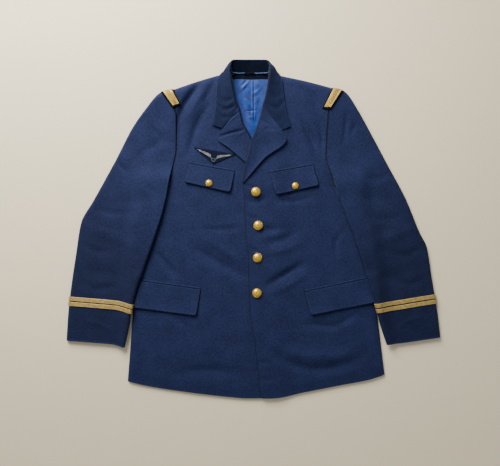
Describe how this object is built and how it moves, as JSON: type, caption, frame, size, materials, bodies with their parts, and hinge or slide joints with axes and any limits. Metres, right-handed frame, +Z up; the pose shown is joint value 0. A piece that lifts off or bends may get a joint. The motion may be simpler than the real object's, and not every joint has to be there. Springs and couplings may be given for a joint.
{
  "type": "uniform dress jacket",
  "caption": "Single-breasted navy uniform jacket laid flat, with notched lapels, flap pockets, gilt buttons, gold shoulder bars and gold cuff braid.",
  "frame": {"origin": "on the floor below the middle of the laid-out jacket", "axes": "+Z up from the floor, +Y towards the collar, +X towards the wearer's left sleeve"},
  "size_m": [0.8799, 0.795, 0.028],
  "materials": {
    "navy_wool": "dark navy worsted wool twill, matt, softly pressed",
    "blue_lining": "bright blue satin lining with a soft sheen",
    "black_felt": "near-black felt and cloth tape, matt",
    "gold_lace": "woven metal-thread lace and flat braid, dull gold",
    "gilt_button": "polished gilt brass"
  },
  "bodies": {
    "root": {"back_right": "navy_wool", "back_left": "navy_wool", "back_lining": "blue_lining", "front_right": "navy_wool", "front_left": "navy_wool", "lapel_right": "navy_wool", "lapel_left": "navy_wool", "collar_fall": "navy_wool", "collar_stand": "black_felt", "hanger_loop": "black_felt", "sleeve_right": "navy_wool", "sleeve_left": "navy_wool", "chest_flap_right": "navy_wool", "chest_flap_left": "navy_wool", "chest_jetting_right": "navy_wool", "chest_jetting_left": "navy_wool", "hip_flap_right": "navy_wool", "hip_flap_left": "navy_wool", "hip_jetting_right": "navy_wool", "hip_jetting_left": "navy_wool", "front_button_1": "gilt_button", "front_button_2": "gilt_button", "front_button_3": "gilt_button", "front_button_4": "gilt_button", "chest_button_right": "gilt_button", "chest_button_left": "gilt_button", "bar_backing_right": "black_felt", "bar_backing_left": "black_felt", "bar_lace_right": "gold_lace", "bar_lace_left": "gold_lace", "cuff_braid_right_1": "gold_lace", "cuff_braid_right_2": "gold_lace", "cuff_braid_left_1": "gold_lace", "cuff_braid_left_2": "gold_lace", "badge_backing": "black_felt"}
  },
  "joints": []
}
